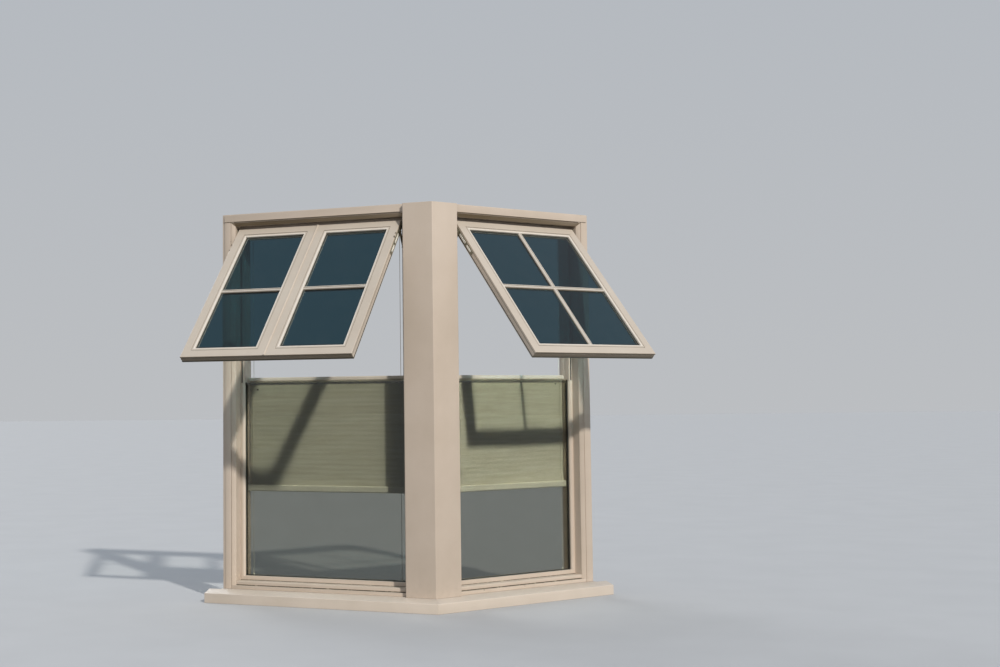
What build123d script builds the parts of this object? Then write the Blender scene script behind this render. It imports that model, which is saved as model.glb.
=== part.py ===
from build123d import *
import math
import os

os.makedirs("parts", exist_ok=True)

# The bay corner: two frames run back from a corner post, each turned by BAY.
# Every piece of a frame is drawn in the frame's own directions (x away from
# the corner, y into the room, z up) and then turned into its place.
BAY = 30.0
FACE_Y = 22.0
STOP_Y = 75.0
REAR_Y = 104.0
BACK_Y = 136.0
SEAT_Z = 54.0
TOP_Z = 1631.0
OUTER = {"left": 919.0, "right": 818.0}
INNER = 146.0
MEMBER_W = 57.0

# corner post
POST_W = 130.0
POST_ROUND = 3.0

# sill
SILL_REACH = 46.0
SILL_NOSE = 40.0
SILL_HORN = 50.0
DRIP_W = 8.0
DRIP_H = 6.0
DRIP_Y = -30.0

# frame members
CHAMFER = 14.0
RISER_Y = FACE_Y + CHAMFER
STOP_W = 18.0
HEAD_H = 50.0
HEAD_Z = TOP_Z - HEAD_H
HEAD_STOP_H = 28.0
HEAD_STOP_Z = HEAD_Z - HEAD_STOP_H
STEP_H = 14.0
STEP_Z = SEAT_Z + STEP_H
RISER_H = 18.0
BOTTOM_Z = STEP_Z + RISER_H
SIGHT_Z = BOTTOM_Z + STOP_W
GROOVE = 3.0
GROOVE_DEPTH = 4.0
RABBET_W = 12.0
RABBET_D = 4.0
BOARD_H = 30.0
BOARD_Z = HEAD_Z + CHAMFER + GROOVE
BOARD_PROUD = 3.0
EDGE = 3.0

# lower fixed light
PANE_T = 14.0
PANE_CLEAR = 3.0
PANE_TOP = 914.0
CAP_LIP = 4.0
CAP_H = 13.0
BEAD_CHAMFER = 6.0

# top hung sashes
SASH_CLEAR = 11.0
SASH_L = 732.0
SASH_T = 32.0
STILE = 50.0
MEETING_STILE = 51.0
TOP_RAIL = 47.0
BOTTOM_RAIL = 48.0
SASH_EDGE = 3.0
GLASS_T = 10.0
GLASS_AT = 11.0
GLASS_IN = 9.0
BAR_W = 15.0
BAR_CREST = 8.0
BAR_STEP = 5.0
BAR_H = 10.0
JOINT_W = 9.0
JOINT_T = 4.0
TILT_DEG = 41.0
HANG = 24.0

# friction stays: the sash slides down its track as the arm swings it out
STAY_PIN = 50.0
STAY_ARM = 70.0
STAY_PLATE = 180.0
STAY_W = 17.0
STAY_T = 2.5
TRACK_Y = STOP_Y - SASH_T / 2
TRACK_CLEAR = 10.0
TRACK_TOP = HEAD_Z - TRACK_CLEAR
PIN_R = 3.5

# blinds
BLIND_CLEAR = 5.0
BLIND_Y = 107.0
BLIND_T = 20.0
RAIL_GAP = 2.0
RAIL_Z = PANE_TOP + CAP_LIP + RAIL_GAP
RAIL_H = 17.0
FOOT_H = 27.0
FABRIC_Y = BLIND_Y + 12.0
FABRIC_T = 5.0
FABRIC_L = 436.0
FOOT_Z = RAIL_Z - FABRIC_L - FOOT_H
CORD_R = 1.0
CORD_IN = 22.0
CORD_Y = BLIND_Y + 5.0


def place(part, side):
    if side == "right":
        return part.rotate(Axis.Z, BAY)
    return mirror(part, about=Plane.YZ).rotate(Axis.Z, -BAY)


def save(part, name):
    part.label = name
    export_step(part, "parts/" + name + ".step")


def box(x0, x1, y0, y1, z0, z1, mode=Mode.ADD):
    with Locations(((x0 + x1) / 2, (y0 + y1) / 2, (z0 + z1) / 2)):
        Box(x1 - x0, y1 - y0, z1 - z0, mode=mode)


def plan(s, y, side=1):
    c = math.cos(math.radians(BAY))
    n = math.sin(math.radians(BAY))
    return (side * (s * c - y * n), s * n + y * c)


# corner post: a stout core with a cover face lapping each frame
core = INNER - MEMBER_W
half = [(POST_W, 0), (POST_W, FACE_Y), (core, FACE_Y), (core, BACK_Y)]
with BuildPart() as corner_post:
    with BuildSketch(Plane.XY.offset(SEAT_Z)):
        with BuildLine():
            right_side = [plan(s, y) for s, y in half]
            left_side = [plan(s, y, -1) for s, y in reversed(half)]
            Polyline([(0, 0)] + right_side + left_side, close=True)
        make_face()
    extrude(amount=TOP_Z - SEAT_Z)
    for spot in [(0, 0), plan(POST_W, 0), plan(POST_W, 0, -1)]:
        upright = corner_post.edges().filter_by(Axis.Z).sort_by_distance((spot[0], spot[1], TOP_Z / 2))[0]
        fillet(upright, radius=POST_ROUND)
save(corner_post.part, "corner_post")


def bevelled(side):
    # the opening widens towards the weather, so its bevels mitre at the corners
    with BuildSketch(Plane.XZ.offset(-RISER_Y)) as opening:
        with Locations(((INNER + OUTER[side]) / 2, (SEAT_Z + HEAD_Z) / 2)):
            Rectangle(OUTER[side] - INNER, HEAD_Z - SEAT_Z)
    extrude(opening.sketch, amount=CHAMFER, taper=-45, mode=Mode.SUBTRACT)


# the plane between the two halves of the sill, in a frame's own directions
mitre = Plane(origin=(0, 0, 0), x_dir=(0, 0, 1),
              z_dir=(math.cos(math.radians(BAY)), -math.sin(math.radians(BAY)), 0))


def sill(side):
    end = OUTER[side] + MEMBER_W
    with BuildPart() as piece:
        with BuildSketch(Plane.YZ.offset(-2 * SILL_REACH)):
            with BuildLine():
                Polyline((-SILL_REACH, 0), (BACK_Y, 0), (BACK_Y, SEAT_Z), (-EDGE, SEAT_Z),
                         (-SILL_REACH, SILL_NOSE), close=True)
            make_face()
            with Locations((DRIP_Y, DRIP_H / 2)):
                Rectangle(DRIP_W, DRIP_H, mode=Mode.SUBTRACT)
        extrude(amount=end + 2 * SILL_REACH)
        with BuildSketch(Plane.YZ.offset(end)):
            with BuildLine():
                Polyline((-SILL_REACH, 0), (0, 0), (0, SEAT_Z), (-EDGE, SEAT_Z), (-SILL_REACH, SILL_NOSE),
                         close=True)
            make_face()
            with Locations((DRIP_Y, DRIP_H / 2)):
                Rectangle(DRIP_W, DRIP_H, mode=Mode.SUBTRACT)
        extrude(amount=SILL_HORN)
        nose = piece.edges().filter_by(Axis.X).sort_by_distance((end / 2, -SILL_REACH, SILL_NOSE))[0]
        fillet(nose, radius=EDGE)
        split(bisect_by=mitre, keep=Keep.TOP)
    save(place(piece.part, side), "sill_" + side)


def jamb(side, inner):
    edge = INNER if inner else OUTER[side]
    x0 = edge - MEMBER_W if inner else edge
    rear = x0 if inner else edge - STOP_W
    with BuildPart() as piece:
        with BuildSketch(Plane.XY.offset(SEAT_Z)):
            with Locations((x0, FACE_Y)):
                Rectangle(MEMBER_W, REAR_Y - FACE_Y, align=(Align.MIN, Align.MIN))
            with Locations((rear, REAR_Y)):
                Rectangle(MEMBER_W + STOP_W, BACK_Y - REAR_Y, align=(Align.MIN, Align.MIN))
            if not inner:
                with Locations((edge + CHAMFER + GROOVE / 2, FACE_Y)):
                    Rectangle(GROOVE, 2 * GROOVE_DEPTH, mode=Mode.SUBTRACT)
                with Locations((edge + MEMBER_W, FACE_Y)):
                    Rectangle(2 * RABBET_W, 2 * RABBET_D, mode=Mode.SUBTRACT)
        extrude(amount=TOP_Z - SEAT_Z)
        bevelled(side)
    name = "inner_jamb_" if inner else "outer_jamb_"
    save(place(piece.part, side), name + side)


def head(side):
    x1 = OUTER[side]
    with BuildPart() as piece:
        box(INNER, x1, FACE_Y, REAR_Y, HEAD_Z, TOP_Z)
        box(INNER + STOP_W, x1 - STOP_W, REAR_Y, BACK_Y, HEAD_STOP_Z, TOP_Z)
        box(INNER, x1, FACE_Y, FACE_Y + GROOVE_DEPTH, BOARD_Z - GROOVE, BOARD_Z, mode=Mode.SUBTRACT)
        bevelled(side)
    save(place(piece.part, side), "head_" + side)
    with BuildPart() as board:
        box(POST_W, x1 + MEMBER_W - RABBET_W, FACE_Y - BOARD_PROUD, FACE_Y, BOARD_Z, BOARD_Z + BOARD_H)
        low = board.edges().filter_by(Axis.X).sort_by_distance((x1 / 2, 0, BOARD_Z))[0]
        chamfer(low, length=BOARD_PROUD / 2)
    save(place(board.part, side), "head_board_" + side)


def bottom_member(side):
    x1 = OUTER[side]
    with BuildPart() as piece:
        with BuildSketch(Plane.XY.offset(SEAT_Z)):
            with BuildLine():
                Polyline((INNER - CHAMFER, FACE_Y), (x1 + CHAMFER, FACE_Y), (x1, RISER_Y), (INNER, RISER_Y), close=True)
            make_face()
        extrude(amount=STEP_H)
        box(INNER, x1, RISER_Y, REAR_Y, SEAT_Z, BOTTOM_Z)
        box(INNER + STOP_W, x1 - STOP_W, REAR_Y, BACK_Y, SEAT_Z, SIGHT_Z)
        box(INNER, x1, RISER_Y, RISER_Y + GROOVE, STEP_Z, STEP_Z + GROOVE, mode=Mode.SUBTRACT)
        front = piece.edges().filter_by(Axis.X).sort_by_distance((x1 / 2, RISER_Y, BOTTOM_Z))[0]
        chamfer(front, length=EDGE)
    save(place(piece.part, side), "bottom_member_" + side)


def closing_stop(side):
    x1 = OUTER[side]
    with BuildPart() as piece:
        box(INNER, INNER + STOP_W, STOP_Y, REAR_Y, PANE_TOP, HEAD_Z)
        box(x1 - STOP_W, x1, STOP_Y, REAR_Y, PANE_TOP, HEAD_Z)
        box(INNER, x1, STOP_Y, REAR_Y, HEAD_STOP_Z, HEAD_Z)
    save(place(piece.part, side), "closing_stop_" + side)


def fixed_light(side):
    x1 = OUTER[side]
    glass_y = REAR_Y - PANE_T
    with BuildPart() as bead:
        box(INNER, INNER + STOP_W, STOP_Y, glass_y, BOTTOM_Z, PANE_TOP)
        box(x1 - STOP_W, x1, STOP_Y, glass_y, BOTTOM_Z, PANE_TOP)
        box(INNER, x1, STOP_Y, glass_y, BOTTOM_Z, SIGHT_Z)
        for x in (INNER + STOP_W, x1 - STOP_W):
            arris = bead.edges().filter_by(Axis.Z).sort_by_distance((x, STOP_Y, PANE_TOP / 2))[0]
            chamfer(arris, length=BEAD_CHAMFER)
    save(place(bead.part, side), "glazing_bead_" + side)
    with BuildPart() as pane:
        box(INNER + PANE_CLEAR, x1 - PANE_CLEAR, glass_y, REAR_Y, BOTTOM_Z + PANE_CLEAR, PANE_TOP)
    save(place(pane.part, side), "fixed_pane_" + side)
    with BuildPart() as cap:
        top = PANE_TOP + CAP_LIP
        box(INNER + STOP_W, x1 - STOP_W, glass_y - CAP_LIP, REAR_Y + CAP_LIP, top - CAP_H, top)
        box(INNER, x1, glass_y, REAR_Y, 0, PANE_TOP, mode=Mode.SUBTRACT)
    save(place(cap.part, side), "pane_cap_" + side)


def opened(part, x0):
    turn = math.radians(TILT_DEG)
    y0 = TRACK_Y - SASH_T / 2 * math.cos(turn)
    z0 = HEAD_Z - HANG + SASH_T / 2 * math.sin(turn)
    return part.rotate(Axis.X, -TILT_DEG).translate((x0, y0, z0))


def sash(side, name, x0, width, stiles, uprights):
    a0 = stiles[0]
    a1 = width - stiles[1]
    b0 = -TOP_RAIL
    b1 = -SASH_L + BOTTOM_RAIL
    glass_end = GLASS_AT + GLASS_T
    with BuildPart() as frame:
        box(0, width, 0, SASH_T, -SASH_L, 0)
        box(a0, a1, 0, SASH_T, b1, b0, mode=Mode.SUBTRACT)
        for y in (0, SASH_T):
            rim = frame.faces().filter_by(Axis.Y).sort_by_distance(((a0 + a1) / 2, y, b0))[0].inner_wires()
            chamfer(rim.edges(), length=SASH_EDGE)
        box(a0 - GLASS_IN, a1 + GLASS_IN, GLASS_AT, glass_end, b1 - GLASS_IN, b0 + GLASS_IN, mode=Mode.SUBTRACT)
    save(place(opened(frame.part, x0), side), "sash_frame_" + name)
    with BuildPart() as glass:
        box(a0 - GLASS_IN, a1 + GLASS_IN, GLASS_AT, glass_end, b1 - GLASS_IN, b0 + GLASS_IN)
    save(place(opened(glass.part, x0), side), "sash_glass_" + name)
    middle = (b0 + b1) / 2
    with BuildPart() as bars:
        for wide, y in ((BAR_W, GLASS_AT - BAR_STEP), (BAR_CREST, GLASS_AT - BAR_H)):
            box(a0, a1, y, GLASS_AT, middle - wide / 2, middle + wide / 2)
            for a in uprights:
                box(a - wide / 2, a + wide / 2, y, GLASS_AT, b1, b0)
    save(place(opened(bars.part, x0), side), "glazing_bars_" + name)


def stay(side, name, wall, way):
    # track on the reveal, arm, and plate on the edge of the sash, joined by their pins
    turn = math.radians(TILT_DEG)
    top_z = HEAD_Z - HANG
    pin_y = TRACK_Y - STAY_PIN * math.sin(turn)
    pin_z = top_z - STAY_PIN * math.cos(turn)
    foot_z = pin_z - math.sqrt(STAY_ARM ** 2 - (TRACK_Y - pin_y) ** 2)
    slide_y = TRACK_Y - STAY_W / 2 * math.sin(turn)
    slide_z = top_z - STAY_W / 2 * math.cos(turn)
    plate_y = TRACK_Y - STAY_PLATE / 2 * math.sin(turn)
    plate_z = top_z - STAY_PLATE / 2 * math.cos(turn)
    swing = math.degrees(math.atan2(pin_z - foot_z, pin_y - TRACK_Y))
    gap = (SASH_CLEAR - 3 * STAY_T) / 2
    layers = [wall + way * k * (STAY_T + gap) for k in range(3)]
    across = Plane(origin=(0, 0, 0), x_dir=(0, 1, 0), z_dir=(1, 0, 0))
    with BuildPart() as piece:
        with BuildSketch(across.offset(layers[0])):
            with Locations((TRACK_Y, (foot_z - STAY_W + TRACK_TOP) / 2)):
                Rectangle(STAY_W, TRACK_TOP - foot_z + STAY_W)
        extrude(amount=way * STAY_T)
        with BuildSketch(across.offset(layers[1])):
            with Locations(Location(((TRACK_Y + pin_y) / 2, (foot_z + pin_z) / 2), swing)):
                SlotCenterToCenter(STAY_ARM, STAY_W)
        extrude(amount=way * STAY_T)
        with BuildSketch(across.offset(layers[2])):
            with Locations(Location((plate_y, plate_z), 90 - TILT_DEG)):
                Rectangle(STAY_PLATE, STAY_W)
        extrude(amount=way * STAY_T)
        for y, z in ((TRACK_Y, foot_z), (pin_y, pin_z), (slide_y, slide_z)):
            with BuildSketch(across.offset(wall)):
                with Locations((y, z)):
                    Circle(PIN_R)
            extrude(amount=way * SASH_CLEAR)
    save(place(piece.part, side), "friction_stay_" + name)


def blind(side):
    x0 = INNER + STOP_W + BLIND_CLEAR
    x1 = OUTER[side] - STOP_W - BLIND_CLEAR
    spots = (x0 + CORD_IN, x1 - CORD_IN)
    rails = (("blind_top_rail_", RAIL_Z, RAIL_H), ("blind_bottom_rail_", FOOT_Z, FOOT_H))
    for name, z, height in rails:
        with BuildPart() as rail:
            box(x0, x1, BLIND_Y, BLIND_Y + BLIND_T, z, z + height)
            for level in (z, z + height):
                arris = rail.edges().filter_by(Axis.X).sort_by_distance((x0 / 2 + x1 / 2, BLIND_Y, level))[0]
                fillet(arris, radius=RAIL_H / 3)
            for x in spots:
                with BuildSketch(Plane.XY.offset(z)):
                    with Locations((x, CORD_Y)):
                        Circle(CORD_R)
                extrude(amount=height, mode=Mode.SUBTRACT)
        save(place(rail.part, side), name + side)
    with BuildPart() as fabric:
        box(x0, x1, FABRIC_Y, FABRIC_Y + FABRIC_T, FOOT_Z + FOOT_H, RAIL_Z)
    save(place(fabric.part, side), "blind_fabric_" + side)
    for name, x in zip(("inner_", "outer_"), spots):
        with BuildPart() as cord:
            with BuildSketch(Plane.XY.offset(SIGHT_Z)):
                with Locations((x, CORD_Y)):
                    Circle(CORD_R)
            extrude(amount=HEAD_STOP_Z - SIGHT_Z)
        save(place(cord.part, side), "guide_cord_" + name + side)


for side in ("left", "right"):
    sill(side)
    jamb(side, True)
    jamb(side, False)
    head(side)
    bottom_member(side)
    closing_stop(side)
    fixed_light(side)
    blind(side)
    stay(side, "inner_" + side, INNER, 1)
    stay(side, "outer_" + side, OUTER[side], -1)

first = INNER + SASH_CLEAR
span = OUTER["right"] - SASH_CLEAR - first
sash("right", "right", first, span, (STILE, STILE), [span / 2])
leaf = (OUTER["left"] - SASH_CLEAR - first) / 2
sash("left", "left_inner", first, leaf, (STILE, MEETING_STILE), [])
sash("left", "left_outer", first + leaf, leaf, (MEETING_STILE, STILE), [])

with BuildPart() as joint_strip:
    box(-JOINT_W / 2, JOINT_W / 2, -JOINT_T, 0, -SASH_L, 0)
    for x in (-JOINT_W / 2, JOINT_W / 2):
        ridge = joint_strip.edges().filter_by(Axis.Z).sort_by_distance((x, -JOINT_T, -SASH_L / 2))[0]
        chamfer(ridge, length=JOINT_T / 2)
save(place(opened(joint_strip.part, first + leaf), "left"), "joint_strip_left")
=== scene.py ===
import math

import bmesh
import bpy
import numpy as np
from mathutils import Matrix, Vector


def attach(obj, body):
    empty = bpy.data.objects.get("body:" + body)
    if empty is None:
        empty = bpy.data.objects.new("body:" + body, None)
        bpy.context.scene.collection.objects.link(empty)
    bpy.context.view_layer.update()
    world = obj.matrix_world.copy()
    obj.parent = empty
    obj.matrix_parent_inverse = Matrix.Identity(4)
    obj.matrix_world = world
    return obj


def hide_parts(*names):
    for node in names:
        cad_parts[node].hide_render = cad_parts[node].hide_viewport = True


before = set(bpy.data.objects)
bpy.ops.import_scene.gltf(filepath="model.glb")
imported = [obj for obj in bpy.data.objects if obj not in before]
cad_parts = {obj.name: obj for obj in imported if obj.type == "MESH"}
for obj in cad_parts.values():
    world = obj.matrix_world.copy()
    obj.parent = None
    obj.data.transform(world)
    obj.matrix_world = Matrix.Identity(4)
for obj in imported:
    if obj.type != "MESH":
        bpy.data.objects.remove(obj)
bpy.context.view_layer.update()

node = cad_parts

# The sizes of the corner window, in millimetres, as its solids have them.
# A frame's own directions are s away from the corner, y inward, z up. BAY is the angle in degrees by which
# each frame turns back.
BAY = 30.0
INNER = 146.0
OUTER = {"left": 919.0, "right": 818.0}
HEAD_Z = 1581.0
STOP_W = 18.0
STOP_Y = 75.0
REAR_Y = 104.0
HEAD_STOP_Z = 1553.0
SIGHT_Z = 104.0
BOTTOM_Z = 86.0
STEP_Z = 68.0
RISER_Y = 36.0
PANE_TOP = 914.0
PANE_T = 14.0

# The sashes. A sash's own directions are a across, d through, h up from its top edge.
SASH_CLEAR = 11.0
SASH_L = 732.0
SASH_T = 32.0
STILE = 50.0
MEETING = 51.0
TOP_RAIL = 47.0
BOTTOM_RAIL = 48.0
GLASS_AT = 11.0
GLASS_T = 10.0
GLASS_IN = 9.0
TILT = math.radians(41.0)
HANG = 24.0
TRACK_Y = STOP_Y - SASH_T / 2

# The stays and the blinds.
STAY_PIN = 50.0
STAY_ARM = 70.0
STAY_T = 2.5
RAIL_Z = 920.0
RAIL_H = 17.0
FABRIC_L = 436.0
FABRIC_Y = 119.0
BLIND_Y = 107.0
BLIND_T = 20.0
BLIND_IN = 23.0
FOOT_H = 27.0
CORD_Y = 112.0
CORD_IN = 22.0

# Sizes that only the scene has, in millimetres. The rounds on the edges of the post, of the other timber
# and of the joint strip.
ARRIS_POST = 1.2
ARRIS = 1.0
ARRIS_STRIP = 0.6
# A sash rail's rounds beside the pane, at its front edge and at its rear edge, and the width, depth and
# beginning of the ovolo inside.
NOSE_R = 3.6
ARRIS_R = 1.8
REAR_R = 1.5
OVOLO_W = 6.5
OVOLO_D = 4.8
OVOLO_AT = 26.0
# The rebate's play before and behind the pane, and at the pane's edge.
SEAL_GAP = 0.1
REBATE_PLAY = 0.3
# How far a bar runs into the rails, and where an upright bar stops beside the cross bar.
BITE = 0.5
CROSS_HALF = 4.0
# The spacer's two edges, in from the sight edge, and how far it keeps from the pane's front and rear.
SPACER_NEAR = 2.2
SPACER_FAR = 5.2
SPACER_FRONT = 0.8
SPACER_REAR = 1.0
# How high the rubber at the foot of a sash's pane reaches, and how far it goes into the rim.
FOOT_SEAL_H = 12.0
FOOT_SEAL_LAP = 1.0
# Where the lower panes' seals stop below the panes' top. The closing stops' seal begins above it, and runs
# in from the jambs and above the head stop's edge.
SEAL_SHORT = 9.0
STOP_SEAL_FOOT = 2.0
STOP_SEAL_IN = 6.0
STOP_SEAL_OVER = 10.0
# The stays' straps (distance down the sash, length, width), their thickness, how far they sink into the
# plate, and their chamfer's width and height.
STRAPS = ((91.0, 54.0, 9.0), (149.0, 40.0, 8.0))
STRAP_T = 0.9
STRAP_SUNK = 0.3
STRAP_CHAMFER = (0.4, 0.3)
# How far down the sash its screws are, how far above the arm's foot and below the head the track's are,
# how far a head sinks in, the flat in its middle, and each kind's radius and height.
PLATE_SCREWS = (70.0, 112.0, 134.0, 164.0)
TRACK_SCREWS = (34.0, 40.0)
HEAD_SUNK = 0.4
HEAD_FLAT = 0.35
PLATE_SCREW_HEAD = (2.4, 0.6)
TRACK_SCREW_HEAD = (3.0, 0.9)
RIVET_HEAD = (5.0, 1.2)
# The blinds: how far the rails' caps stand proud all round, and where each cap begins and ends, measured
# outward from the rail's end.
RAIL_PROUD = 0.4
CAP_FROM = -0.2
CAP_TO = 1.8
# The cloth's play at its sides, its thickness, how far behind the solid's front it hangs, its folds and
# half their depth, how far it ripples in and out, how far its creases sag, and its mesh's rows in a fold
# and points across.
CLOTH_PLAY = 0.8
CLOTH_T = 0.6
CLOTH_BACK = 2.5
FOLDS = 22
FOLD_DEPTH = 0.28
RIPPLE = 0.4
SAG = 0.5
FOLD_ROWS = 6
CLOTH_COLS = 90
# The eyelet's place (s, z) near the cloth's upper outer corner, and how far behind the solid's front.
EYELET = {"left": (857.0, 886.0), "right": (755.0, 900.0)}
EYELET_BACK = 0.4
# Outlines (radius, height) of an eyelet's ring and of a guide cord's shoe.
RING = [(1.3, 0.2), (1.6, 1.1), (3.0, 1.1), (3.6, 0.4), (3.6, -0.6)]
SHOE = [(4.2, -0.3), (4.2, 3.4), (3.4, 4.6), (2.6, 8.5), (1.7, 10.4), (0.6, 11.0)]
# Where the paint has flaked: (s, z, reach) on a frame's front, which lies at CHIP_Y there, and (h, reach)
# down the left inner leaf's edge, whose place (a, d) is LEAF_EDGE.
JAMB_CHIPS = ((932.6, 1516.0, 9.0), (932.6, 1502.0, 10.0), (932.7, 1487.0, 11.0), (941.0, 1476.5, 9.0))
STEP_CHIPS = ((263.0, 66.5, 9.0), (482.0, 66.0, 10.0), (677.0, 67.5, 9.0))
LEAF_CHIPS = ((-75.0, 13.0), (-95.0, 15.0), (-131.0, 9.0))
LEAF_EDGE = (0.5, 1.0)
CHIP_Y = {"left": 22.0, "right": 22.3}
# A section drawn through and up, as run takes it.
THROUGH_AND_UP = {"across": (0, 1, 0), "up": (0, 0, 1)}

# Where each sash begins and how wide it is, its two stiles, and its upright bars.
FIRST = INNER + SASH_CLEAR
LEAF = (OUTER["left"] - SASH_CLEAR - FIRST) / 2
SPAN = OUTER["right"] - SASH_CLEAR - FIRST
SASHES = {
    "right": ("right", FIRST, SPAN, (STILE, STILE), [SPAN / 2]),
    "left_inner": ("left", FIRST, LEAF, (STILE, MEETING), []),
    "left_outer": ("left", FIRST + LEAF, LEAF, (MEETING, STILE), []),
}


def in_frame(side):
    """The turn that takes a frame's own place (s, y, z) in millimetres to the part's in metres."""
    hand = 1 if side == "right" else -1
    cos, sin = math.cos(math.radians(BAY)), math.sin(math.radians(BAY))
    return np.array([[hand * cos, -hand * sin, 0, 0], [sin, cos, 0, 0], [0, 0, 1, 0],
                     [0, 0, 0, 1000]]) / 1000


def in_sash(name):
    """The turn that takes a sash's own place (a across, d through, h up from its top) to the part's."""
    side, x0, *_ = SASHES[name]
    cos, sin = math.cos(TILT), math.sin(TILT)
    y0 = TRACK_Y - SASH_T / 2 * cos
    z0 = HEAD_Z - HANG + SASH_T / 2 * sin
    return in_frame(side) @ np.array([[1, 0, 0, x0], [0, cos, sin, y0], [0, -sin, cos, z0],
                                      [0, 0, 0, 1]])


def placed(points, turn):
    """Every point (x, y, z) times the turn's matrix."""
    flat = np.asarray(points, float).reshape(-1, 3)
    out = flat @ turn[:3, :3].T + turn[:3, 3]
    return out.reshape(np.shape(points))


# What the finishes are made of.


class Finish:
    """A procedural material: its nodes, and short ways to add and join them."""

    def __init__(self, name):
        self.mat = bpy.data.materials.new(name)
        self.mat.use_nodes = True
        self.tree = self.mat.node_tree
        self.surface = self.tree.nodes["Principled BSDF"]
        self.place = self.tree.nodes.new("ShaderNodeTexCoord").outputs["Object"]

    def feed(self, socket, value):
        """Joins another node's output to the socket, or writes a plain value there."""
        if isinstance(value, bpy.types.NodeSocket):
            self.tree.links.new(value, socket)
        else:
            socket.default_value = value

    def add(self, kind, out=0, settings=None, **inputs):
        """A node of this kind. An input goes by its name, or as i and its number where names repeat."""
        made = self.tree.nodes.new(kind)
        for key, value in (settings or {}).items():
            setattr(made, key, value)
        for key, value in inputs.items():
            by_number = key[0] == "i" and key[1:].isdigit()
            self.feed(made.inputs[int(key[1:]) if by_number else key.replace("_", " ")], value)
        return made.outputs[out]

    def mapped(self, turn=(0, 0, 0), size=(1, 1, 1), source=None):
        """The object's own coordinates, or another source, turned and scaled."""
        return self.add("ShaderNodeMapping", Vector=source or self.place, Rotation=turn, Scale=size)

    def noise(self, scale, source=None, detail=3.0, rough=0.55):
        """A noise from 0 to 1 over the piece."""
        return self.add("ShaderNodeTexNoise", Vector=source or self.place, Scale=scale, Detail=detail,
                        Roughness=rough)

    def spread(self, value, low, high, to_low=0.0, to_high=1.0):
        """The span low to high stretched to to_low to to_high, and held there beyond its ends."""
        return self.add("ShaderNodeMapRange", settings={"clamp": True},
                        i0=value, i1=low, i2=high, i3=to_low, i4=to_high)

    def math(self, kind, a, b=0.0):
        """Two values put together in the way that kind names."""
        return self.add("ShaderNodeMath", settings={"operation": kind}, i0=a, i1=b)

    def times(self, a, b):
        """Two values multiplied."""
        return self.math("MULTIPLY", a, b)

    def mix(self, how_much, a, b):
        """The colour a, or b where how_much is 1."""
        return self.add("ShaderNodeMix", 2, {"data_type": "RGBA"}, i0=how_much, i6=a, i7=b)

    def bump(self, height, distance, strength=1.0, under=None):
        """A normal that follows a height, over another bump where under is given."""
        below = {} if under is None else {"Normal": under}
        return self.add("ShaderNodeBump", "Normal", Strength=strength, Distance=distance, Height=height,
                        **below)

    def set(self, **inputs):
        """Feeds the shader's own sockets, and gives the material."""
        for key, value in inputs.items():
            self.feed(self.surface.inputs[key.replace("_", " ")], value)
        return self.mat


def colour(r, g, b):
    """A colour from its 0 to 255 display values, made linear."""
    part = np.array([r, g, b]) / 255
    return tuple(np.where(part < 0.04045, part / 12.92, ((part + 0.055) / 1.055) ** 2.4)) + (1.0,)


CREAM = colour(200, 184, 168)
CREAM_WORN = colour(191, 175, 158)
DUSTY = colour(176, 169, 156)
GRIME = colour(146, 134, 116)
BARE = colour(84, 76, 64)
# painted shade for the faces that look down and outward
UNDERSIDE_SHADE = colour(112, 94, 62)
# dirt and painted shade for the mouldings' hollows
GROOVE_DIRT_AND_SHADE = colour(122, 114, 98)
# a painted highlight for the glazing beads' noses and the bars' ridges
PAINTED_HIGHLIGHT = colour(226, 217, 205)
# how fine the brush marks are, per metre
BRUSH_ALONG, BRUSH_ACROSS = 6.0, 420.0


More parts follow.
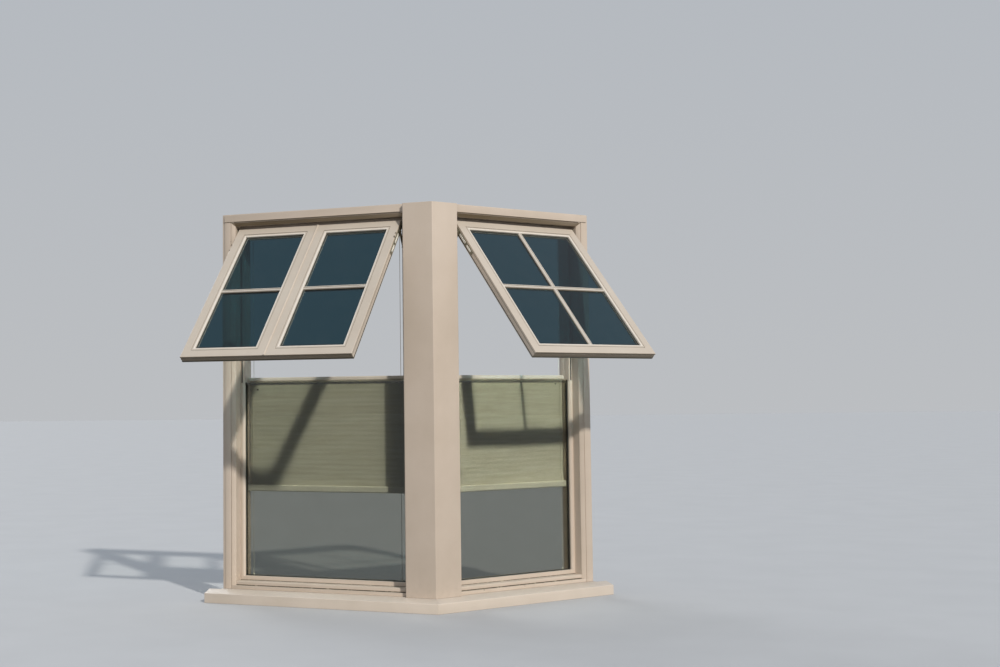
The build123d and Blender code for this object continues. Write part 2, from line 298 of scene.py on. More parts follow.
def paint(name, along, turn=(0.0, 0.0, 0.0), chips=(), low=None, gloss=(0.06, 0.3),
          base=CREAM, worn=CREAM_WORN, dusty=DUSTY):
    """Brushed gloss paint on wood. along is the brush's direction, 0 to 2, in the piece's own axes, and turn
    takes the part's axes to them. chips are places and how far round each the paint has flaked. low is the
    band of heights over which grime fades out. gloss is the clear coat's weight and roughness."""
    f = Finish(name)
    own = f.mapped(turn=turn)
    brush = f.mapped(source=own, size=tuple(BRUSH_ALONG if i == along else BRUSH_ACROSS for i in range(3)))
    patches = f.noise(5.0, detail=4.0)
    streaks = f.noise(1.0, brush, detail=2.0)
    tone = f.mix(f.spread(patches, 0.35, 0.75), base, worn)
    tone = f.mix(f.spread(streaks, 0.35, 0.8, 0.0, 0.12), tone, CREAM_WORN)
    # specks and a thin veil of grime
    specks = f.noise(520.0, detail=1.0)
    dust = f.noise(38.0, detail=5.0, rough=0.7)
    speckled = f.times(f.spread(specks, 0.70, 0.76), f.spread(dust, 0.5, 0.75, 0.0, 0.3))
    tone = f.mix(speckled, tone, GRIME)
    tone = f.mix(f.spread(dust, 0.6, 0.9, 0.0, 0.1), tone, GRIME)
    # dust that settles on what looks up, and painted shade on what looks down and outward
    looks_up = f.add("ShaderNodeSeparateXYZ", "Z", Vector=f.add("ShaderNodeNewGeometry", "Normal"))
    looks_in = looks_up.node.outputs["Y"]
    settled = f.times(f.spread(looks_up, 0.2, 1.0), f.spread(dust, 0.3, 0.7, 0.42, 0.66))
    tone = f.mix(settled, tone, dusty)
    under = f.times(f.spread(looks_up, -0.75, -0.25, 0.9, 0.0), f.spread(looks_in, -0.3, 0.3, 1.0, 0.0))
    tone = f.mix(under, tone, UNDERSIDE_SHADE)
    # dirt and painted shade in the mouldings' hollows, and a painted highlight on the glazing beads' noses
    # and the bars' ridges
    groove = f.add("ShaderNodeAttribute", "Fac", {"attribute_name": "hollow"})
    tone = f.mix(f.times(groove, f.spread(dust, 0.2, 0.7, 0.6, 0.95)), tone, GROOVE_DIRT_AND_SHADE)
    highlight_mask = f.add("ShaderNodeAttribute", "Fac", {"attribute_name": "pale"})
    tone = f.mix(f.times(highlight_mask, f.spread(dust, 0.35, 0.8, 0.85, 0.5)), tone, PAINTED_HIGHLIGHT)
    if low:
        height = f.add("ShaderNodeSeparateXYZ", "Z", Vector=f.place)
        rise = f.times(f.spread(height, low[0], low[1], 1.0, 0.0), f.spread(dust, 0.45, 0.75, 0.0, 0.16))
        tone = f.mix(rise, tone, GRIME)
    relief = f.math("ADD", f.times(streaks, 0.6), f.times(f.noise(210.0, detail=2.0), 0.5))
    normal = f.bump(relief, 0.00035, 0.55)
    for (x, y, z), reach in chips:
        gap = f.add("ShaderNodeVectorMath", "Value", {"operation": "DISTANCE"}, i0=f.place, i1=(x, y, z))
        near = f.spread(gap, reach * 0.3, reach, 0.16, -0.12)
        flake = f.spread(f.math("ADD", f.noise(170.0, detail=4.0, rough=0.75), near), 0.665, 0.675)
        tone = f.mix(flake, tone, BARE)
        normal = f.bump(f.math("SUBTRACT", 1.0, flake), 0.0006, 0.8, normal)
    return f.set(Base_Color=tone, Roughness=f.spread(patches, 0.3, 0.8, 0.40, 0.54), Normal=normal,
                 Coat_Weight=gloss[0], Coat_Roughness=gloss[1])


def clear_glass(name, tint, wash):
    """Clear glass with the tint it is given, faint dust, and a way through for the lamps' light."""
    f = Finish(name)
    dust = f.noise(16.0, detail=5.0, rough=0.65)
    drops = f.noise(240.0, detail=1.0)
    rough = f.math("ADD", f.spread(dust, 0.5, 0.8, 0.0, 0.05), f.spread(drops, 0.7, 0.76, 0.0, 0.05))
    tone = f.mix(f.spread(dust, 0.45, 0.85, 0.0, 0.5), tint, wash)
    waves = f.noise(2.2, detail=1.0)
    f.set(Base_Color=tone, Roughness=rough, IOR=1.45, Transmission_Weight=1.0,
          Normal=f.bump(waves, 0.002, 0.12))
    through = f.add("ShaderNodeBsdfTransparent", Color=(0.96, 0.97, 0.96, 1.0))
    to_lamp = f.add("ShaderNodeLightPath", "Is Shadow Ray")
    both = f.add("ShaderNodeMixShader", i0=to_lamp, i1=f.surface.outputs[0], i2=through)
    f.feed(f.tree.nodes["Material Output"].inputs["Surface"], both)
    return f.mat


def rubber(name):
    """Rubber gone dull, with dust on it."""
    f = Finish(name)
    dust = f.noise(60.0, detail=5.0, rough=0.7)
    tone = f.mix(f.spread(dust, 0.45, 0.8, 0.0, 0.4), colour(30, 35, 28), colour(58, 58, 48))
    return f.set(Base_Color=tone, Roughness=f.spread(dust, 0.3, 0.8, 0.55, 0.85),
                 Normal=f.bump(f.noise(420.0), 0.0002, 0.5))


def steel(name):
    """Drawn steel with brown stains."""
    f = Finish(name)
    drawn = f.noise(1.0, f.mapped(size=(900.0, 900.0, 40.0)), detail=2.0)
    stains = f.noise(70.0, detail=4.0, rough=0.7)
    tone = f.mix(f.spread(stains, 0.45, 0.8, 0.0, 0.6), colour(196, 194, 188), colour(138, 130, 118))
    return f.set(Base_Color=tone, Metallic=1.0, Roughness=f.spread(drawn, 0.2, 0.8, 0.26, 0.42),
                 Normal=f.bump(drawn, 0.0001, 0.4))


def stay_finish(name, base, worn, bare):
    """Steel of the stays: base is its own tone, bare the tone where a slow noise passes worn."""
    f = Finish(name)
    rubbed = f.spread(f.noise(60.0, detail=3.0, rough=0.6), worn, worn + 0.08)
    drawn = f.noise(1.0, f.mapped(size=(900.0, 900.0, 60.0)), detail=2.0)
    tone = f.mix(rubbed, base, bare)
    return f.set(Base_Color=tone, Metallic=f.times(rubbed, 0.5),
                 Roughness=f.spread(drawn, 0.2, 0.8, 0.34, 0.48), Normal=f.bump(drawn, 0.0001, 0.4))


def enamel(name, tone_a, tone_b):
    """Smooth baked finish on aluminium, with the slight orange peel of a sprayed coat."""
    f = Finish(name)
    soft = f.noise(9.0, detail=3.0)
    tone = f.mix(f.spread(soft, 0.3, 0.8), tone_a, tone_b)
    return f.set(Base_Color=tone, Roughness=f.spread(soft, 0.2, 0.9, 0.3, 0.42),
                 Normal=f.bump(f.noise(700.0, detail=1.0), 0.0001, 0.35))


def cloth(name):
    """Pleated blind cloth: slubs that run level in a plain weave."""
    f = Finish(name)
    slub = f.noise(1.0, f.mapped(size=(5.0, 5.0, 95.0)), detail=3.0, rough=0.7)
    fine = f.noise(1.0, f.mapped(size=(22.0, 22.0, 900.0)), detail=2.0, rough=0.6)
    thread = f.noise(1.0, f.mapped(size=(900.0, 900.0, 60.0)), detail=1.0)
    cloudy = f.noise(4.0, detail=2.0)
    tone = f.mix(f.spread(slub, 0.36, 0.64), colour(235, 232, 217), colour(217, 212, 193))
    tone = f.mix(f.spread(fine, 0.35, 0.75, 0.0, 0.24), tone, colour(205, 199, 178))
    tone = f.mix(f.spread(cloudy, 0.35, 0.7, 0.0, 0.25), tone, colour(222, 217, 198))
    weave = f.math("ADD", f.times(slub, 0.6), f.math("ADD", f.times(fine, 0.3), f.times(thread, 0.2)))
    return f.set(Base_Color=tone, Roughness=0.86, Sheen_Weight=0.15, Sheen_Roughness=0.5,
                 Normal=f.bump(weave, 0.0006, 0.6))


def braid(name):
    """Braided cord: waves along its length."""
    f = Finish(name)
    plait = f.add("ShaderNodeTexWave", Vector=f.mapped(size=(1.0, 1.0, 0.8)), Scale=260.0, Distortion=2.0)
    tone = f.mix(plait, colour(226, 222, 208), colour(196, 190, 172))
    return f.set(Base_Color=tone, Roughness=0.7, Normal=f.bump(plait, 0.0003, 0.5))


def spots(places, side):
    """Chip places (s, z, reach) on a frame's front, as points in metres with their reach."""
    turn = in_frame(side)
    return [(tuple(placed([(s, CHIP_Y[side], z)], turn)[0]), reach / 1000) for s, z, reach in places]


# the turns that take the part's axes to each frame's, so that the brush follows its level members
LEVEL = {"left": (0.0, 0.0, math.radians(BAY)), "right": (0.0, 0.0, -math.radians(BAY))}
step_chips = {"left": (), "right": spots(STEP_CHIPS, "right")}
upright_paint = paint("gloss paint on uprights", 2, low=(0.055, 0.16), chips=spots(JAMB_CHIPS, "left"))
sill_paint = {side: paint("gloss paint on " + side + " sill", 0, LEVEL[side], base=colour(213, 199, 184),
                          worn=colour(204, 190, 174), dusty=colour(188, 179, 168)) for side in LEVEL}
level_paint = {side: paint("gloss paint on " + side + " level members", 0, LEVEL[side], low=(0.04, 0.11),
                           chips=step_chips[side]) for side in LEVEL}
rubber_black = rubber("weathered glazing rubber")
stainless = steel("drawn stainless steel")
# the stays' steel is dark so that the pale straps stand out: painted shade round the straps
stay_plate_shaded = stay_finish("stay steel darkened as painted shade", colour(116, 110, 92), 0.56, colour(88, 82, 68))
strap_steel = stay_finish("stay straps painted over", colour(240, 235, 222), 0.70, colour(160, 152, 134))
spacer_metal = enamel("mill finish pane spacer", colour(234, 186, 168), colour(222, 174, 156))
rail_white = enamel("baked cream rail finish", colour(249, 246, 233), colour(241, 237, 222))
# a darker copy of the rails' cream for the top rails: painted shade, as though they stood behind the glass
rail_in_painted_shade = enamel("top rail in painted shade", colour(200, 190, 174), colour(184, 174, 158))
blind_cloth = cloth("slub blind cloth")
cord_white = braid("braided blind cord")
# the lower panes' tint is far darker than clear glass: painted shade for a dark room behind them
low_glass = clear_glass("lower pane glass", (0.284, 0.289, 0.25, 1), (0.32, 0.324, 0.286, 1))
cap_rubber = clear_glass("clear silicone edge cap", (0.62, 0.62, 0.57, 1), (0.50, 0.50, 0.45, 1))
# the sash panes' deep blue tint is a painted sky reflection over painted shade of a dark room behind
sash_glass = clear_glass("sash pane glass", (0.02, 0.068, 0.088, 1), (0.042, 0.085, 0.1, 1))


# How the shapes are made.


def piece(name, shape, turn, finish, smooth=True, marks=None):
    """A mesh from its points and faces, placed by the turn's matrix, riding on the window. marks says for
    each point of the profile, wherever it is repeated, how far the paint is darkened in a hollow, as dirt
    and painted shade, or lightened as a painted highlight."""
    mesh = bpy.data.meshes.new(name)
    verts, faces = shape
    mesh.from_pydata(placed(verts, turn).tolist(), [], [list(map(int, f)) for f in faces])
    mesh.update()
    obj = bpy.data.objects.new(name, mesh)
    bpy.context.scene.collection.objects.link(obj)
    work = bmesh.new()
    work.from_mesh(mesh)
    bmesh.ops.recalc_face_normals(work, faces=work.faces)
    work.to_mesh(mesh)
    work.free()
    mesh.materials.append(finish)
    mesh.polygons.foreach_set("use_smooth", [smooth] * len(mesh.polygons))
    for mark, values in (marks or {}).items():
        everywhere = np.resize(np.array(values, float), len(mesh.vertices))
        mesh.attributes.new(mark, "FLOAT", "POINT").data.foreach_set("value", everywhere)
    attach(obj, "root")
    return obj


def ring_faces(rows, cols, closed_rows, closed_cols=True):
    """Quads between neighbouring points of a grid of rows by cols, round the ends where it is closed."""
    row = np.arange(rows if closed_rows else rows - 1)
    col = np.arange(cols if closed_cols else cols - 1)
    row, col = [grid.ravel() for grid in np.meshgrid(row, col, indexing="ij")]
    over, along = (row + 1) % rows, (col + 1) % cols
    return np.stack([row * cols + col, over * cols + col, over * cols + along, row * cols + along], 1)


def framed(profile, a0, a1, b0, b1, left=0.0, right=0.0, low=0.0, high=0.0):
    """A profile (out, share, depth, lift) carried round a rectangle and mitred: place = corner + (out +
    share x that side's width) x the corner's outward signs, and the low side's points raised by lift."""
    out, share, depth, lift = np.asarray(profile, float).T[:, None, :]
    corners = np.array([[a0, b0, -1, -1, left, low, 1], [a1, b0, 1, -1, right, low, 1],
                        [a1, b1, 1, 1, right, high, 0], [a0, b1, -1, 1, left, high, 0]], float)
    at_a, at_h, way_a, way_h, wide, tall, is_low = corners.T[:, :, None]
    a = at_a + way_a * (out + share * wide)
    h = at_h + way_h * (out + share * tall) + lift * is_low
    d = np.broadcast_to(depth, a.shape)
    return np.stack([a, d, h], -1).reshape(-1, 3), ring_faces(4, len(profile), True)


def around(profile, a0, a1, b0, b1):
    """A profile (out, depth) carried round a rectangle and mitred, as framed does."""
    return framed([(out, 0, depth, 0) for out, depth in profile], a0, a1, b0, b1)


def run(profile, start, end, across, up):
    """A profile (u, v) carried straight from start to end, with flat ends:
    place = point + u x across + v x up."""
    p = np.asarray(profile, float)
    line = np.array([start, end], float)
    u, v = p[None, :, 0, None], p[None, :, 1, None]
    pts = line[:, None, :] + u * np.array(across, float) + v * np.array(up, float)
    k = len(p)
    ends = [list(range(k)), list(range(2 * k - 1, k - 1, -1))]
    return pts.reshape(-1, 3), [list(f) for f in ring_faces(2, k, False)] + ends


def turned(profile, centre, axis, across, steps=20):
    """A profile (radius, height) spun round an axis:
    place = centre + r cos t x across + r sin t x side + height x axis."""
    p = np.asarray(profile, float)
    axis, across = np.array(axis, float), np.array(across, float)
    side = np.cross(axis, across)
    t = np.linspace(0, 2 * np.pi, steps, endpoint=False)
    spoke = np.cos(t)[:, None] * across + np.sin(t)[:, None] * side
    pts = np.array(centre, float) + p[:, None, 0, None] * spoke[None] + p[:, None, 1, None] * axis
    k = len(p)
    ends = [list(range(steps)), list(range((k - 1) * steps, k * steps))]
    return pts.reshape(-1, 3), [list(f) for f in ring_faces(k, steps, False)] + ends


def joined(parts):
    """Several meshes as one: their points one after another, and their faces counted on."""
    verts, faces, at = [], [], 0
    for v, f in parts:
        verts.append(v)
        faces += [[int(i) + at for i in face] for face in f]
        at += len(v)
    return np.concatenate(verts), faces


def eased(name, width, finish):
    """A timber piece with its arrises rubbed down: the solid's mesh, merged, and each edge rounded."""
    source = node[name]
    mesh = source.data.copy()
    work = bmesh.new()
    work.from_mesh(mesh)
    bmesh.ops.remove_doubles(work, verts=work.verts, dist=1e-5)
    bmesh.ops.dissolve_limit(work, angle_limit=math.radians(1.0), verts=work.verts, edges=work.edges)
    work.to_mesh(mesh)
    work.free()
    mesh.name = name + "_eased"
    obj = bpy.data.objects.new(name + "_eased", mesh)
    bpy.context.scene.collection.objects.link(obj)
    mesh.materials.clear()
    mesh.materials.append(finish)
    mesh.polygons.foreach_set("use_smooth", [True] * len(mesh.polygons))
    soft = obj.modifiers.new("rubbed arris", "BEVEL")
    soft.width = width / 1000
    soft.segments = 3
    soft.limit_method = "ANGLE"
    soft.angle_limit = math.radians(28)
    soft.harden_normals = True
    soft.use_clamp_overlap = True
    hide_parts(name)
    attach(obj, "root")


eased("corner_post", ARRIS_POST, upright_paint)
for side in ("left", "right"):
    eased("sill_" + side, ARRIS, sill_paint[side])
    for name in ("head_", "head_board_", "bottom_member_"):
        eased(name + side, ARRIS, level_paint[side])
    for name in ("inner_jamb_", "outer_jamb_", "closing_stop_", "glazing_bead_"):
        eased(name + side, ARRIS, upright_paint)


# The sashes: moulded rims, panes, bars and seals.


def lean_paint(name, chips=()):
    """Paint whose brush marks follow a sash that is turned and tilted."""
    back = Matrix(in_sash(name)[:3, :3] * 1000).inverted()
    return paint("gloss paint on sash " + name, 2, tuple(back.to_euler()), chips, gloss=(0.5, 0.16),
                 base=colour(202, 188, 172))


def sash_section():
    """The section of a stile or rail (out from the sight edge, share of its width, depth, lift of the
    drip): a glazing bead with a round nose and a quirk, the flat face, eased arrises, the drip under the
    low rail, the groove of the weather seal, an ovolo inside, and the rebate that holds the pane."""
    t = np.radians(np.linspace(0, 90, 6))
    nose = [(NOSE_R - NOSE_R * math.cos(v), 0, 4.2 - NOSE_R * math.sin(v), 0) for v in t]
    bead = [(5.6, 0, 0.6, 0), (6.4, 0, 0.6, 0), (11.3, 0, 0.6, 0)]
    quirk = [(11.8, 0, 1.1, 0), (11.9, 0, 3.0, 0), (13.4, 0, 3.0, 0), (13.5, 0, 0.6, 0), (14.1, 0, 0, 0)]
    arris = [(-ARRIS_R + ARRIS_R * math.sin(v), 1, ARRIS_R - ARRIS_R * math.cos(v), 0) for v in t]
    drip = [(0, 1, 7.0, 0), (0, 1, 7.2, 2.6), (0, 1, 10.4, 2.6), (0, 1, 10.6, 0)]
    groove = [(0, 1, 24.7, 0), (-2.2, 1, 25.0, 0), (-2.2, 1, 28.0, 0), (0, 1, 28.3, 0)]
    rear = [(-REAR_R + REAR_R * math.cos(v), 1, SASH_T - REAR_R + REAR_R * math.sin(v), 0) for v in t]
    fillet = [(7.2, 0, SASH_T, 0), (6.9, 0, 31.2, 0)]
    ovolo = [(OVOLO_W - OVOLO_W * math.sin(v), 0, OVOLO_AT + OVOLO_D * math.cos(v), 0) for v in t]
    deep, front, back = GLASS_IN + REBATE_PLAY, GLASS_AT - SEAL_GAP, GLASS_AT + GLASS_T + SEAL_GAP
    rebate = [(0, 0, back, 0), (deep, 0, back, 0), (deep, 0, front, 0), (0, 0, front, 0)]
    return nose + bead + quirk + arris + drip + groove + rear + fillet + ovolo + rebate


def in_quirk(out, share, depth, lift):
    """Whether a point of the section lies in the quirk or in the drip, where the paint is darkened for dirt
    and painted shade.
    """
    return (share == 0 and 11.5 < out < 13.5 and 1 < depth < 4) or lift > 0


def on_nose(out, share, depth, lift):
    """Whether a point of the section lies on the round nose beside the pane, where the paint carries a
    painted highlight.
    """
    return share == 0 and out < 6.0 and depth < 4.5


def bar_section():
    """Half-widths and heights of a bar's moulding: a ridge with a groove down its middle, and on each
    side a hollow that falls to the glass as (1 - t) to the 0.75 while it widens as t to the 0.6."""
    t = np.linspace(0, 1, 6)
    away = np.concatenate([[1.2, 1.7, 2.3], 4.2 + 3.6 * t ** 0.6])
    fall = np.concatenate([[6.0, 6.2, 8.5], 8.6 * (1 - t) ** 0.75])
    return [(-u, v) for u, v in zip(away[::-1], fall[::-1])] + list(zip(away, fall))


for name, (_, _, width, stiles, uprights) in SASHES.items():
    turn = in_sash(name)
    chips = []
    if name == "left_inner":
        chips = [(tuple(placed([(*LEAF_EDGE, h)], turn)[0]), reach / 1000) for h, reach in LEAF_CHIPS]
    sash_paint = lean_paint(name, chips)
    a0, a1 = stiles[0], width - stiles[1]
    b0, b1 = -TOP_RAIL, -SASH_L + BOTTOM_RAIL
    shape = framed(sash_section(), a0, a1, b1, b0, *stiles, BOTTOM_RAIL, TOP_RAIL)
    # the quirk and drip are darkened with dirt and painted shade, the nose lightened as a painted highlight
    marks = {"hollow": [float(in_quirk(*point)) for point in sash_section()],
             "pale": [float(on_nose(*point)) for point in sash_section()]}
    rim = piece("moulded_sash_" + name, shape, turn, sash_paint, smooth=False, marks=marks)
    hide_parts("sash_frame_" + name)
    back = GLASS_AT + GLASS_T
    lip = [(1.5, 0.0), (1.5, -2.0), (0.6, -2.4), (-0.6, -2.0), (-1.5, -0.9), (-1.7, 0.0)]
    for label, at, way in (("front", GLASS_AT, 1), ("rear", back, -1)):
        shape = around([(u, at + way * v) for u, v in lip], a0, a1, b1, b0)
        piece("sash_seal_" + label + "_" + name, shape, turn, rubber_black)
    near, far = GLASS_AT + SPACER_FRONT, back - SPACER_REAR
    edge = [(-SPACER_NEAR, near), (-SPACER_FAR, near), (-SPACER_FAR, far), (-SPACER_NEAR, far)]
    shape = around(edge, a0, a1, b1, b0)
    piece("pane_spacer_" + name, shape, turn, spacer_metal, smooth=False)
    low, high = b1 - FOOT_SEAL_LAP, b1 + FOOT_SEAL_H
    foot = [(near, low), (near, high), (far, high), (far, low)]
    shape = run(foot, (a0 - FOOT_SEAL_LAP, 0, 0), (a1 + FOOT_SEAL_LAP, 0, 0), **THROUGH_AND_UP)
    piece("pane_foot_seal_" + name, shape, turn, rubber_black, smooth=False)
    shape = bar_section()
    # the bars' middle groove is darkened with dirt and painted shade, their ridges lightened as a painted
    # highlight
    marks = {"hollow": [float(abs(u) < 2.0) for u, v in shape],
             "pale": [float(2.0 < abs(u) < 7.0) for u, v in shape]}
    middle = (b0 + b1) / 2
    parts = []
    for face, way in ((GLASS_AT, -1), (back, 1)):
        ends = (a0 - BITE, face, middle), (a1 + BITE, face, middle)
        parts.append(run(shape, *ends, (0, 0, 1), (0, way, 0)))
        for a in uprights:
            for h0, h1 in ((b1 - BITE, middle - CROSS_HALF), (middle + CROSS_HALF, b0 + BITE)):
                parts.append(run(shape, (a, face, h0), (a, face, h1), (1, 0, 0), (0, way, 0)))
    bars = piece("moulded_bars_" + name, joined(parts), turn, sash_paint, smooth=False,
                 marks=marks)
    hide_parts("glazing_bars_" + name)
    node["sash_glass_" + name].data.materials[0] = sash_glass

eased("joint_strip_left", ARRIS_STRIP, bpy.data.materials["gloss paint on sash left_inner"])
for side, name, width in (("right", "right", SPAN), ("left", "left_inner", 2 * LEAF)):
    bulb = [(-2.1, 25.2), (0.4, 25.2), (1.3, 25.8), (1.6, 26.5), (1.3, 27.2), (0.4, 27.8), (-2.1, 27.8)]
    shape = around(bulb, 0, width, -SASH_L, 0)
    piece("weather_seal_" + side, shape, in_sash(name), rubber_black)


# The bottom members' open joints: under the glazing bead, and at the foot of the step.


def joint_line(name):
    """Dirt in an open joint, paler where the paint bridges it."""
    f = Finish(name)
    bridged = f.spread(f.noise(46.0, detail=4.0, rough=0.7), 0.56, 0.62)
    tone = f.mix(bridged, colour(74, 64, 48), colour(158, 148, 130))
    return f.set(Base_Color=tone, Roughness=0.8, Normal=f.bump(f.noise(300.0), 0.0003, 0.6))


open_joint = joint_line("dirt in the open joints")
for side in ("left", "right"):
    lines = []
    for y0, y1, z0, z1 in ((STOP_Y - 0.25, STOP_Y + 0.4, BOTTOM_Z, BOTTOM_Z + 1.9),
                           (RISER_Y + 0.5, RISER_Y + 2.9, STEP_Z - 0.3, STEP_Z + 3.1)):
        gap = [(y0, z0), (y0, z1), (y1, z1), (y1, z0)]
        lines.append(run(gap, (INNER, 0, 0), (OUTER[side], 0, 0), **THROUGH_AND_UP))
    piece("open_joints_" + side, joined(lines), in_frame(side), open_joint, smooth=False)


# The lower panes, their seals and caps.


for side in ("left", "right"):
    turn = in_frame(side)
    x0, x1 = INNER + STOP_W, OUTER[side] - STOP_W
    node["fixed_pane_" + side].data.materials[0] = low_glass
    node["pane_cap_" + side].data.materials[0] = cap_rubber
    lip = [(1.5, 0.0), (1.5, -2.0), (0.4, -2.6), (-1.8, -2.2), (-3.0, 0.0)]
    seal_top = PANE_TOP - SEAL_SHORT
    for label, at, way in (("front", REAR_Y - PANE_T, 1), ("rear", REAR_Y, -1)):
        profile = [(u, at + way * v) for u, v in lip]
        parts = [run(profile, (x0, 0, SIGHT_Z), (x0, 0, seal_top), (-1, 0, 0), (0, 1, 0)),
                 run(profile, (x1, 0, SIGHT_Z), (x1, 0, seal_top), (1, 0, 0), (0, 1, 0)),
                 run(profile, (x0, 0, SIGHT_Z), (x1, 0, SIGHT_Z), (0, 0, -1), (0, 1, 0))]
        piece("pane_seal_" + label + "_" + side, joined(parts), turn, rubber_black,
              smooth=False)
    # the seal on the closing stops, which the shut sash presses on
    bulb = [(0.0, 0.0), (0.0, -1.2), (1.4, -2.6), (3.4, -2.6), (4.8, -1.2), (4.8, 0.0)]
    bulb = [(u, STOP_Y + v) for u, v in bulb]
    x0, x1, top = INNER + STOP_SEAL_IN, OUTER[side] - STOP_SEAL_IN, HEAD_STOP_Z + STOP_SEAL_OVER
    parts = [run(bulb, (x, 0, PANE_TOP + STOP_SEAL_FOOT), (x, 0, top), (way, 0, 0), (0, 1, 0))
             for x, way in ((x0, 1), (x1, -1))]
    parts.append(run(bulb, (x0, 0, top), (x1, 0, top), (0, 0, 1), (0, 1, 0)))
    piece("closing_seal_" + side, joined(parts), turn, rubber_black, smooth=False)


# The friction stays: straps and screw heads.


def head_screw(centre, axis, radius, proud):
    """A low dome: height falls from proud at the middle to nothing at the radius, as 1 - (r / radius)
    squared."""
    r = np.linspace(radius, HEAD_FLAT, 6)
    dome = [(radius, -HEAD_SUNK)] + [(float(v), float(proud * (1 - (v / radius) ** 2))) for v in r]
    return turned(dome, centre, axis, (0, 1, 0))


def down_sash(r):
    """The middle of the sash's edge, r below its top, in the frame's own y and z."""
    return TRACK_Y - r * math.sin(TILT), HEAD_Z - HANG - r * math.cos(TILT)


def strap(centre, along, normal, length, width):
    """A bar with round ends: the outline is every point half a width from a line, raised by the strap's
    thickness with a small chamfer."""
    steps = 9
    t = np.linspace(-np.pi / 2, np.pi / 2, steps)
    ends = np.concatenate([np.stack([np.cos(t), np.sin(t)], 1), np.stack([-np.cos(t), -np.sin(t)], 1)])
    mid = np.repeat([0.5, -0.5], steps) * (length - width)
    side = np.cross(normal, along)
    half, (cut_in, cut_down) = width / 2, STRAP_CHAMFER
    rings = []
    for r, rise in ((half, -STRAP_SUNK), (half, STRAP_T - cut_down), (half - cut_in, STRAP_T)):
        level = centre + (mid + ends[:, 0] * r)[:, None] * along + (ends[:, 1] * r)[:, None] * side
        rings.append(level + rise * normal)
    k = 2 * steps
    faces = [list(f) for f in ring_faces(3, k, False)] + [list(range(k)), list(range(2 * k, 3 * k))]
    return np.concatenate(rings), faces


# the arm's foot on the track follows from its pin on the sash, and layer is the step from one of the
# stay's three plates to the next
pin_y, pin_z = down_sash(STAY_PIN)
foot_z = pin_z - math.sqrt(STAY_ARM ** 2 - (TRACK_Y - pin_y) ** 2)
layer = STAY_T + (SASH_CLEAR - 3 * STAY_T) / 2
down = np.array([0.0, -math.sin(TILT), -math.cos(TILT)])
for side in ("left", "right"):
    for end, jamb, way in (("inner", INNER, 1), ("outer", OUTER[side], -1)):
        label = end + "_" + side
        out = np.array([-way, 0.0, 0.0])
        plate = jamb + way * 2 * layer
        straps, screws = [], []
        for z in (foot_z + TRACK_SCREWS[0], HEAD_Z - TRACK_SCREWS[1]):
            screws.append(head_screw((jamb + way * STAY_T, TRACK_Y, z), (way, 0, 0), *TRACK_SCREW_HEAD))
        for r, length, width in STRAPS:
            straps.append(strap(np.array([plate, *down_sash(r)]), down, out, length, width))
        for r in PLATE_SCREWS:
            at = (plate - way * STRAP_T, *down_sash(r))
            screws.append(head_screw(at, (-way, 0, 0), *PLATE_SCREW_HEAD))
        at = (jamb + way * (layer + STAY_T), TRACK_Y, foot_z)
        screws.append(head_screw(at, (way, 0, 0), *RIVET_HEAD))
        piece("stay_straps_" + label, joined(straps), in_frame(side), strap_steel,
              smooth=False)
        piece("stay_screws_" + label, joined(screws), in_frame(side), stainless)
        # the stay takes the dark steel, which is painted shade round its straps
        node["friction_stay_" + label].data.materials[0] = stay_plate_shaded


# The pleated blinds.


def pleated(side):
    """Cloth folded to and fro: depth = half the fold x a triangle wave of the height, softened at the
    creases, plus a slow ripple. Each crease sags a little, as a slow sine of the width."""
    x0, x1 = INNER + BLIND_IN + CLOTH_PLAY, OUTER[side] - BLIND_IN - CLOTH_PLAY
    rows, cols = FOLDS * FOLD_ROWS + 1, CLOTH_COLS
    v = np.linspace(0, 1, rows)[:, None]
    u = np.linspace(0, 1, cols)[None, :]
    wave = np.arcsin(np.sin(2 * np.pi * FOLDS * v) * 0.96) / (np.pi / 2)
    ripple = RIPPLE * np.sin(7.0 * u + 9.0 * v) * np.sin(np.pi * v)
    depth = FABRIC_Y + CLOTH_BACK + FOLD_DEPTH * wave + ripple
    z = RAIL_Z - FABRIC_L + FABRIC_L * v + SAG * np.sin(np.pi * v) * np.sin(5.0 * u + 3.0)
    pts = np.stack(np.broadcast_arrays(x0 + (x1 - x0) * u, depth, z), -1).reshape(-1, 3)
    shape = pts, ring_faces(rows, cols, False, False)
    hung = piece("pleated_cloth_" + side, shape, in_frame(side), blind_cloth)
    thick = hung.modifiers.new("cloth thickness", "SOLIDIFY")
    thick.thickness = CLOTH_T / 1000
    thick.offset = 0.0
    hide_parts("blind_fabric_" + side)


def cap_outline(tall):
    """A rail's end outline (through, up), a little proud all round, its front corners quarter rounds."""
    t = np.radians(np.linspace(0, 90, 6))
    r = RAIL_H / 3 + RAIL_PROUD
    front, rear = BLIND_Y - RAIL_PROUD, BLIND_Y + BLIND_T + RAIL_PROUD
    top, foot = tall + RAIL_PROUD, -RAIL_PROUD
    upper = [(front + r - r * math.cos(v), top - r + r * math.sin(v)) for v in t]
    lower = [(front + r - r * math.sin(v), foot + r - r * math.cos(v)) for v in t]
    return upper + [(rear, top), (rear, foot)] + lower


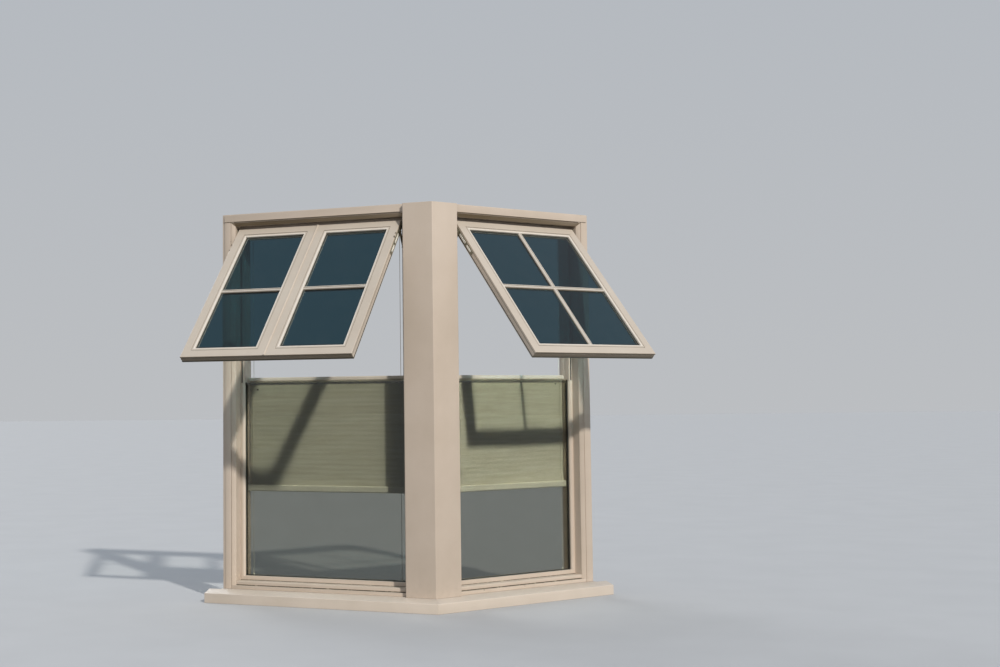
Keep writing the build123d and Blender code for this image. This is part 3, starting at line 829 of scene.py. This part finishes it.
for side in ("left", "right"):
    pleated(side)
    turn = in_frame(side)
    x0, x1 = INNER + BLIND_IN, OUTER[side] - BLIND_IN
    # the top rails take the darker copy, which is painted shade
    for rail, finish in (("top", rail_in_painted_shade), ("bottom", rail_white)):
        node["blind_" + rail + "_rail_" + side].data.materials[0] = finish
    for end in ("inner", "outer"):
        node["guide_cord_" + end + "_" + side].data.materials[0] = cord_white
    # end caps close the rails, and a shoe holds each guide cord at its foot and its head
    caps = []
    for low, tall in ((RAIL_Z, RAIL_H), (RAIL_Z - FABRIC_L - FOOT_H, FOOT_H)):
        for x, way in ((x0, -1), (x1, 1)):
            near, far = x + way * CAP_FROM, x + way * CAP_TO
            caps.append(run(cap_outline(tall), (near, 0, low), (far, 0, low), **THROUGH_AND_UP))
    piece("rail_caps_" + side, joined(caps), turn, rail_white, smooth=False)
    shoes = [turned(SHOE, (x, CORD_Y, z), (0, 0, way), (1, 0, 0))
             for x in (x0 + CORD_IN, x1 - CORD_IN) for z, way in ((SIGHT_Z, 1), (HEAD_STOP_Z, -1))]
    piece("cord_shoes_" + side, joined(shoes), turn, rail_white)
    s, z = EYELET[side]
    ring = turned(RING, (s, FABRIC_Y + EYELET_BACK, z), (0, -1, 0), (1, 0, 0))
    piece("cloth_eyelet_" + side, ring, turn, rubber_black)


# The floor, the lamps, the backdrop and the camera.
# Places are in metres, and a lamp's angle and the camera's turns are in degrees.


FLOOR_HALF = 60.0
KEY = {"strength": 2.85, "tone": (1.0, 0.97, 0.92), "angle": 2.2, "from_dir": (0.27, -0.79, 0.55)}
FILL = {"strength": 0.7, "tone": (0.96, 0.98, 1.0), "angle": 25.0, "from_dir": (-0.35, 0.78, 0.52)}
BACK_LOW = (0.50, 0.515, 0.535, 1.0)
BACK_HIGH = (0.36, 0.42, 0.50, 1.0)
YAW, RISE, ROLL = map(math.radians, (6.46, 3.865, -0.535))
STAND = (-0.83349, -5.99341, 0.84569)
LENS = {"sensor_width": 36.0, "lens": 54.72, "shift_x": 0.1057, "shift_y": -0.0383, "clip_end": 300.0}


def studio_floor():
    """A wide pale floor, darker to diffuse rays so that it throws little light upward."""
    mesh = bpy.data.meshes.new("floor")
    far = FLOOR_HALF
    mesh.from_pydata([(-far, -far, 0), (far, -far, 0), (far, far, 0), (-far, far, 0)], [], [(0, 1, 2, 3)])
    obj = bpy.data.objects.new("floor", mesh)
    bpy.context.scene.collection.objects.link(obj)
    f = Finish("pale studio floor")
    grain = f.noise(3.0, detail=2.0)
    pale = f.mix(f.spread(grain, 0.3, 0.7), (0.455, 0.46, 0.47, 1), (0.475, 0.48, 0.49, 1))
    spill = f.add("ShaderNodeLightPath", "Is Diffuse Ray")
    mesh.materials.append(f.set(Base_Color=f.mix(spill, pale, (0.17, 0.165, 0.155, 1)), Roughness=0.8))


def lamp(name, strength, tone, angle, from_dir):
    """A distant lamp whose light comes from a direction, with the softness of its angle in degrees."""
    data = bpy.data.lights.new(name, "SUN")
    data.energy = strength
    data.color = tone
    data.angle = math.radians(angle)
    obj = bpy.data.objects.new(name, data)
    bpy.context.scene.collection.objects.link(obj)
    obj.rotation_euler = Vector(from_dir).to_track_quat("Z", "Y").to_euler()


studio_floor()
lamp("key", **KEY)
lamp("fill", **FILL)

# the backdrop: a plain tone that turns a little bluer with height
world = bpy.data.worlds.new("studio")
bpy.context.scene.world = world
world.use_nodes = True
nodes = world.node_tree.nodes
height = nodes.new("ShaderNodeSeparateXYZ")
shade = nodes.new("ShaderNodeValToRGB")
shade.color_ramp.elements[0].color = BACK_LOW
shade.color_ramp.elements[1].color = BACK_HIGH
join = world.node_tree.links.new
join(nodes.new("ShaderNodeTexCoord").outputs["Generated"], height.inputs[0])
join(height.outputs["Z"], shade.inputs["Fac"])
join(shade.outputs["Color"], nodes["Background"].inputs["Color"])

# the camera, turned by yaw, raised by rise and rolled by roll
level = Vector((math.sin(YAW), math.cos(YAW), 0))
across = Vector((math.cos(YAW), -math.sin(YAW), 0))
ahead = level * math.cos(RISE) + Vector((0, 0, math.sin(RISE)))
over = across.cross(ahead)
right = across * math.cos(ROLL) + over * math.sin(ROLL)
up = over * math.cos(ROLL) - across * math.sin(ROLL)
cam_data = bpy.data.cameras.new("camera")
for key, value in LENS.items():
    setattr(cam_data, key, value)
cam = bpy.data.objects.new("camera", cam_data)
bpy.context.scene.collection.objects.link(cam)
turn = Matrix((right, up, -ahead)).transposed().to_4x4()
cam.matrix_world = Matrix.Translation(STAND) @ turn
bpy.context.scene.camera = cam
bpy.context.scene.view_settings.view_transform = "Standard"
